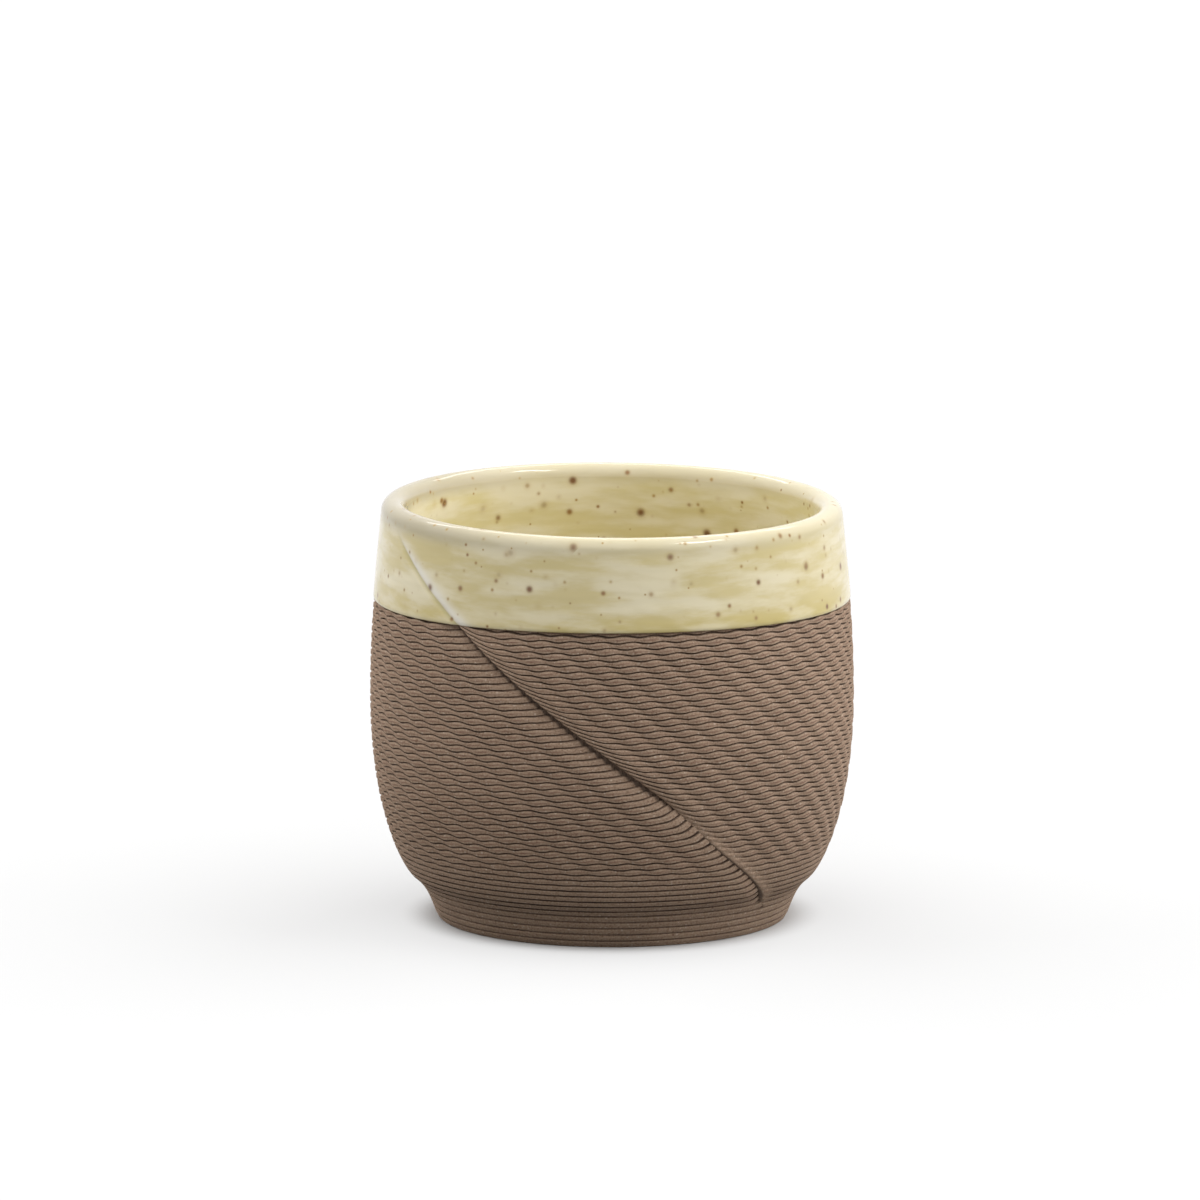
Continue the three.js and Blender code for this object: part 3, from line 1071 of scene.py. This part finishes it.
@dataclass(frozen=True)
class GlazeFinish(Finish):
    """Gloss glaze: cream, yellow where it pooled, with brown iron specks; painted shade over the lip, and
    along the fold a painted highlight on the ridge and painted shade in the hollow.
    """

    name: str = "speckled_cream_glaze"
    roughness: float = 0.1
    cream: Colour = paint("e7dcba")
    yellow: Colour = paint("ccba78")
    # Painted shade over the top of the lip: a greyer, darker colour there, darker still on its left side
    lip: Colour = paint("cfc5a8")
    lip_left_shade: Colour = paint("aaa18c")
    # Fold colours: thinner, whiter glaze with a painted highlight on the ridge, and pooled olive glaze with
    # painted shade in the hollow
    thin_glaze_and_highlight: Colour = paint("f0ebdf")
    olive_pool_and_shade: Colour = paint("aba067")
    halo: Colour = paint("b99a5e")
    streak_scale: float = 95.0
    pool_heights: tuple[float, float] = (46.5 * MM, 51 * MM)
    under_lip_heights: tuple[float, float] = (53 * MM, 56 * MM)
    lip_start_heights: tuple[float, float] = (57 * MM, 59 * MM)
    lip_shade_heights: tuple[float, float] = (57 * MM, 60 * MM)
    lip_left_shade_reach: tuple[float, float] = (8 * MM, 30 * MM)
    lip_shade_share: float = 0.85
    ripple_scale: float = 160.0
    ripple_height: float = 0.25 * MM
    ripple_share: float = 0.35
    irons: tuple[tuple[float, float, Colour], ...] = (
        (210.0, 0.2, paint("7a5236")),
        (330.0, 0.21, paint("957047")),
        (480.0, 0.18, paint("ad8d57")),
    )

    def material(self, groups: SurfaceGroups) -> bpy.types.Material:
        """Builds the material.

        Args:
            groups: the shared shader groups.

        Returns:
            The finished material.
        """
        material, sheet, shader, place = self.start()
        x, y, height = sheet.parts(place)
        streaked = sheet.vector(x, y, height * 4.0)
        streak = groups.use(
            sheet,
            groups.mottling,
            "Value",
            Vector=streaked,
            Scale=self.streak_scale,
            Seed=5.0,
            Low=0.36,
            High=0.62,
        )
        pooled = 1.0 - sheet.step(*self.pool_heights, height)
        under_lip = sheet.step(*self.under_lip_heights, height)
        under_lip = under_lip * (1.0 - sheet.step(*self.lip_start_heights, height))
        pool = sheet.math("MINIMUM", streak * 0.7 + pooled * 0.35 + under_lip * 0.05, 1.0)
        colour = sheet.blend(pool, self.cream, self.yellow)
        # Painted shade: the top of the lip turns greyer and darker, and more so on the left side
        lip = sheet.blend(sheet.step(*self.lip_left_shade_reach, x * -1.0), self.lip, self.lip_left_shade)
        colour = sheet.blend(sheet.step(*self.lip_shade_heights, height) * self.lip_shade_share, colour, lip)
        # Along the fold: pooled olive glaze with painted shade in the hollow, thinner whiter glaze with a
        # painted highlight on the ridge
        fold = sheet.made("ShaderNodeAttribute", {}, "Fac", attribute_name="pool")
        colour = sheet.blend(sheet.math("MAXIMUM", fold, 0.0) * 0.6, colour, self.olive_pool_and_shade)
        colour = sheet.blend(sheet.math("MAXIMUM", fold * -1.0, 0.0) * 0.8, colour, self.thin_glaze_and_highlight)
        for scale, size, iron in self.irons:
            halo = groups.use(
                sheet, groups.specks, "Mask", Vector=place, Scale=scale, Size=size * 1.6, Softness=1.0
            )
            core = groups.use(
                sheet, groups.specks, "Mask", Vector=place, Scale=scale, Size=size, Softness=0.8
            )
            colour = sheet.blend(halo * 0.5, colour, self.halo)
            colour = sheet.blend(core * 0.95, colour, iron)
        sheet.feed(shader.inputs["Base Color"], colour)
        ripple = sheet.noise(streaked, self.ripple_scale, 1.0, 3.0)
        self.bump(sheet, shader, ripple, self.ripple_height, self.ripple_share)
        return material


@dataclass(frozen=True)
class FloorFinish(Finish):
    """Pale studio floor: bright where it is seen, quieter in the light that it throws back.

    It can be looked through from below, and under the foot it lets light up to the base. Round the foot its
    glow fades out, a painted contact shadow.
    """

    name: str = "pale_floor"
    roughness: float = 0.9
    seen: Colour = (0.63, 0.63, 0.63, 1.0)
    thrown: Colour = (0.2, 0.2, 0.2, 1.0)
    glow: float = 0.55
    contact: float = 24.5 * MM
    # Painted contact shadow: the glow fades in from the contact radius out to here
    contact_shadow_reach: float = 31 * MM

    def material(self) -> bpy.types.Material:
        """Builds the material.

        Returns:
            The finished material.
        """
        material, sheet, shader, place = self.start()
        x, y, _ = sheet.parts(place)
        radius = sheet.math("SQRT", x * x + y * y)
        # Painted contact shadow round the foot: the glow fades out towards it
        outside_contact_shadow = sheet.step(self.contact, self.contact_shadow_reach, radius)
        path = sheet.node("ShaderNodeLightPath")
        eye = Field(sheet, path.outputs["Is Camera Ray"]) + Field(sheet, path.outputs["Is Glossy Ray"])
        eye = sheet.math("MINIMUM", eye, 1.0)
        sheet.feed(shader.inputs["Base Color"], sheet.blend(eye, self.thrown, self.seen))
        shader.inputs["Specular IOR Level"].default_value = 0.0
        glow = sheet.node("ShaderNodeEmission")
        side = sheet.node("ShaderNodeNewGeometry")
        clear = sheet.node("ShaderNodeBsdfTransparent")
        lit = sheet.node("ShaderNodeMixShader")
        choice = sheet.node("ShaderNodeMixShader")
        leave = next(node for node in material.node_tree.nodes if node.type == "OUTPUT_MATERIAL")
        links = material.node_tree.links
        sheet.feed(lit.inputs[0], eye * self.glow * outside_contact_shadow)
        links.new(shader.outputs["BSDF"], lit.inputs[1])
        links.new(glow.outputs["Emission"], lit.inputs[2])
        open_share = sheet.math("LESS_THAN", radius, self.contact)
        open_share = sheet.math("MAXIMUM", open_share, Field(sheet, side.outputs["Backfacing"]))
        sheet.feed(choice.inputs[0], open_share)
        links.new(lit.outputs["Shader"], choice.inputs[1])
        links.new(clear.outputs["BSDF"], choice.inputs[2])
        links.new(choice.outputs["Shader"], leave.inputs["Surface"])
        return material


@dataclass(frozen=True)
class StudioSun:
    """A large soft lamp far away: where it stands, how wide it is and how much light it gives.

    It is kept out of the gloss, where its wide disc would show a hard edge.
    """

    name: str
    azimuth: float
    elevation: float
    width: float
    level: float

    def build(self) -> None:
        """Makes the lamp. A level of 1 shows a facing matte surface in its own colour."""
        data = bpy.data.lights.new(self.name, "SUN")
        data.energy = self.level * math.pi
        data.angle = math.radians(self.width)
        lamp = bpy.data.objects.new(self.name, data)
        lamp.visible_glossy = False
        lamp.rotation_euler = direction(self.azimuth, self.elevation).to_track_quat("Z", "Y").to_euler()
        bpy.context.scene.collection.objects.link(lamp)


@dataclass(frozen=True)
class StudioPanel:
    """A small bright panel that shows on the gloss and adds no other light."""

    name: str
    azimuth: float
    elevation: float
    distance: float
    width: float
    height: float
    power: float

    def build(self) -> None:
        """Makes the panel, turned towards the cup."""
        data = bpy.data.lights.new(self.name, "AREA")
        data.shape = "RECTANGLE"
        data.size = self.width
        data.size_y = self.height
        data.energy = self.power
        lamp = bpy.data.objects.new(self.name, data)
        way = direction(self.azimuth, self.elevation)
        lamp.visible_diffuse = False
        lamp.location = way * self.distance
        lamp.rotation_euler = way.to_track_quat("Z", "Y").to_euler()
        bpy.context.scene.collection.objects.link(lamp)


def direction(azimuth: float, elevation: float) -> Vector:
    """Gives the way from the cup towards a place round it.

    Args:
        azimuth: degrees from the front towards the right.
        elevation: degrees above the floor.

    Returns:
        A vector of length 1.
    """
    turn = math.radians(azimuth)
    rise = math.radians(elevation)
    return Vector((math.sin(turn) * math.cos(rise), -math.cos(turn) * math.cos(rise), math.sin(rise)))


@dataclass(frozen=True)
class Studio:
    """Floor, lamps and surroundings."""

    floor_half: float = 6.0
    sky: float = 0.15
    suns: tuple[StudioSun, ...] = (
        StudioSun("key_right", azimuth=105, elevation=32, width=80, level=0.98),
        StudioSun("fill_left", azimuth=-120, elevation=32, width=80, level=0.78),
        StudioSun("front_right", azimuth=40, elevation=24, width=40, level=0.085),
        StudioSun("top", azimuth=0, elevation=66, width=70, level=0.6),
    )
    panels: tuple[StudioPanel, ...] = (
        StudioPanel(
            "window", azimuth=70, elevation=60, distance=1.2, width=0.4, height=0.14, power=2.6
        ),
        StudioPanel(
            "back_strip", azimuth=180, elevation=42, distance=1.4, width=1.2, height=0.09, power=2.4
        ),
    )

    def build(self) -> None:
        """Makes the floor, the lamps and the surroundings."""
        half = self.floor_half
        mesh = bpy.data.meshes.new("studio_floor")
        corners = [(-half, -half, 0), (half, -half, 0), (half, half, 0), (-half, half, 0)]
        mesh.from_pydata(corners, [], [(0, 1, 2, 3)])
        mesh.materials.append(FloorFinish().material())
        floor = bpy.data.objects.new("studio_floor", mesh)
        bpy.context.scene.collection.objects.link(floor)
        for lamp in (*self.suns, *self.panels):
            lamp.build()
        self.surroundings()

    def surroundings(self) -> None:
        """Makes surroundings that look white and light the cup softly."""
        world = bpy.data.worlds.new("white_surroundings")
        world.use_nodes = True
        world.node_tree.nodes.clear()
        sheet = NodeSheet(world.node_tree)
        path = sheet.node("ShaderNodeLightPath")
        seen = Field(sheet, path.outputs["Is Camera Ray"]) + Field(sheet, path.outputs["Is Glossy Ray"])
        seen = sheet.math("MINIMUM", seen + Field(sheet, path.outputs["Is Transmission Ray"]), 1.0)
        back = sheet.node("ShaderNodeBackground")
        back.inputs["Color"].default_value = (1.0, 1.0, 1.0, 1.0)
        sheet.feed(back.inputs["Strength"], self.sky + (1.0 - self.sky) * seen)
        leave = sheet.node("ShaderNodeOutputWorld")
        world.node_tree.links.new(back.outputs["Background"], leave.inputs["Surface"])
        bpy.context.scene.world = world


@dataclass(frozen=True)
class PhotoCamera:
    """Long lens a little above the rim, as in the photograph."""

    distance: float = 2.0
    elevation: float = 10.51
    lens: float = 416.6
    look_height: float = 30 * MM
    frame_up: float = 15.64 * MM
    frame_left: float = 1.73 * MM

    def build(self) -> None:
        """Makes the camera, aimed so that the cup stands where it does in the photograph."""
        data = bpy.data.cameras.new("photo_camera")
        data.lens = self.lens
        data.sensor_width = 36.0
        camera = bpy.data.objects.new("photo_camera", data)
        middle = Vector((0.0, 0.0, self.look_height))
        rise = math.radians(self.elevation)
        up = Vector((0.0, math.sin(rise), math.cos(rise)))
        camera.location = middle + direction(0.0, self.elevation) * self.distance
        aim = middle + up * self.frame_up - Vector((self.frame_left, 0.0, 0.0))
        camera.rotation_euler = (aim - camera.location).to_track_quat("-Z", "Y").to_euler()
        bpy.context.scene.collection.objects.link(camera)
        bpy.context.scene.camera = camera


def main() -> None:
    """Builds the studio and the pieces of the cup in order."""
    logging.basicConfig(level=logging.INFO, format="%(name)s: %(message)s")
    bpy.context.scene.view_settings.view_transform = "Standard"
    PhotoCamera().build()
    Studio().build()
    outline = CupOutline()
    fold = SpiralFold()
    layers = PrintedLayers()
    rolling = RollingTree(outline, fold, layers)
    groups = SurfaceGroups()
    clay = ClayFinish().material(groups)
    glaze = GlazeFinish().material(groups)
    # The lining is a lighter copy of the glaze: painted light for the inside of the cup, which the lamps
    # light less
    lining_glaze_painted_light = GlazeFinish(
        name="poured_cream_glaze", cream=paint("e8e0c5"), yellow=paint("d4c78b"), thin_glaze_and_highlight=paint("f2eddf")
    ).material(groups)
    for kind, finish in ((ClayBase, clay), (ClayWall, clay), (LiningGlaze, lining_glaze_painted_light), (RimGlaze, glaze)):
        kind(outline, fold, layers).build(rolling, finish)


if __name__ == "__main__":
    main()
